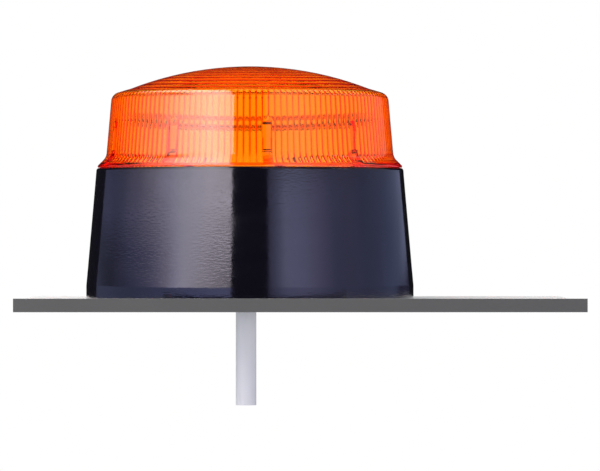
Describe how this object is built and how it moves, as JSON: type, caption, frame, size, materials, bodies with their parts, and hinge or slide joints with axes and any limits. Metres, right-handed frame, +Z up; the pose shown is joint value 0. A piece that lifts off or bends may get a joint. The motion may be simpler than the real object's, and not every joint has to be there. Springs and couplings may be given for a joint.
{
  "type": "xenon strobe beacon",
  "caption": "Round panel-mounted strobe beacon: tapered black base, amber fluted twist-off lens, flash tube over a reflector and circuit board, cable from the underside.",
  "frame": {"origin": "centre of the mounting face, on the beacon's axis", "axes": "+Z up the axis towards the lens, -Y to the front, the flash tube along X"},
  "size_m": [0.12, 0.12, 0.1242],
  "materials": {
    "black_housing": "satin black moulding",
    "amber_lens": "clear amber, polished outside",
    "black_rubber": "matt rubber",
    "grey_sheath": "grey cable sheath",
    "brown_core": "brown core insulation",
    "blue_core": "blue core insulation",
    "copper": "bare copper strands",
    "board": "green circuit board",
    "plated_steel": "zinc plated",
    "terminal_green": "green terminal moulding",
    "capacitor_sleeve": "shrink sleeve on an aluminium can",
    "ferrite": "sintered ferrite",
    "coil_tape": "yellow winding tape",
    "black_epoxy": "black potting and packages",
    "film_red": "dipped film capacitor",
    "aluminium": "extruded aluminium",
    "resistor_body": "lacquered resistor body",
    "white_moulding": "white moulding",
    "nylon": "natural nylon",
    "tube_glass": "clear hard glass",
    "tungsten": "drawn tungsten",
    "nickel_wire": "stiff nickel wire",
    "white_ceramic": "unglazed ceramic",
    "silicone_lead": "white silicone insulation"
  },
  "bodies": {
    "base": {"base_housing": "black_housing", "panel_gasket": "black_rubber", "cable_grommet": "black_rubber", "cable_tie": "nylon", "supply_cable": "grey_sheath", "core_brown": "brown_core", "core_blue": "blue_core", "core_ends": "copper", "circuit_board": "board", "board_spacers": "plated_steel", "terminal_block": "terminal_green", "terminal_screws": "plated_steel", "storage_capacitor": "capacitor_sleeve", "capacitor_cradle": "nylon", "converter_core": "ferrite", "converter_winding": "coil_tape", "trigger_transformer": "black_epoxy", "trigger_capacitor": "film_red", "control_chip": "black_epoxy", "heat_sink": "aluminium", "switching_transistor": "black_epoxy", "resistors": "resistor_body", "diodes": "black_epoxy", "reflector_plate": "white_moulding", "reflector_screws": "plated_steel", "flash_tube": "tube_glass", "tube_electrodes": "tungsten", "tube_leads": "nickel_wire", "lead_bushings": "white_ceramic", "trigger_wire": "nickel_wire", "trigger_lead": "silicone_lead"},
    "seal": {"lens_seal": "black_rubber"},
    "lens": {"lens_dome": "amber_lens"}
  },
  "joints": [
    {"name": "lens_lift", "type": "slide", "parent": "base", "child": "seal", "axis": [0, 0, 1], "range_m": [0, 0.04]},
    {"name": "lens_turn", "type": "hinge", "parent": "seal", "child": "lens", "pos_m": [0, 0, 0.048], "axis": [0, 0, -1], "range_deg": [0, 25]}
  ]
}
